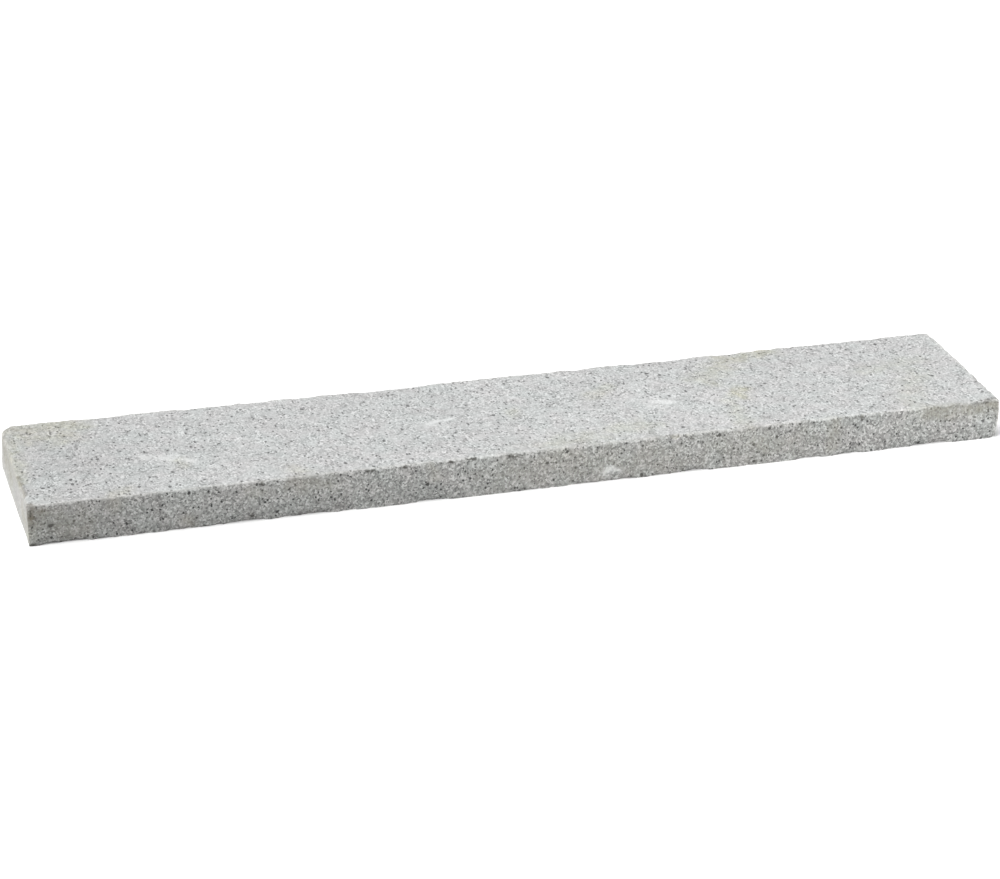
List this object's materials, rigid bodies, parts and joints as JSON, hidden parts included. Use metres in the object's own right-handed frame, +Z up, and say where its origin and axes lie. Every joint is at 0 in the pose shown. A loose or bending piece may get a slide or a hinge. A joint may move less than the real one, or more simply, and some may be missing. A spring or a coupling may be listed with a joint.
{
  "type": "granite kerb stone",
  "caption": "Long flat granite slab with sawn faces, flaked arrises and one rounded corner, laid end to end to edge a path, lawn or bed.",
  "frame": {"origin": "middle of the bed face, on the ground under the stone", "axes": "+X along the stone's length, +Y from the front face to the back face, +Z up through its thickness"},
  "size_m": [1, 0.2, 0.0415],
  "materials": {
    "granite": "matt flamed granite, fine grey, white and black grain"
  },
  "bodies": {
    "root": {"kerb_stone": "granite"}
  },
  "joints": []
}
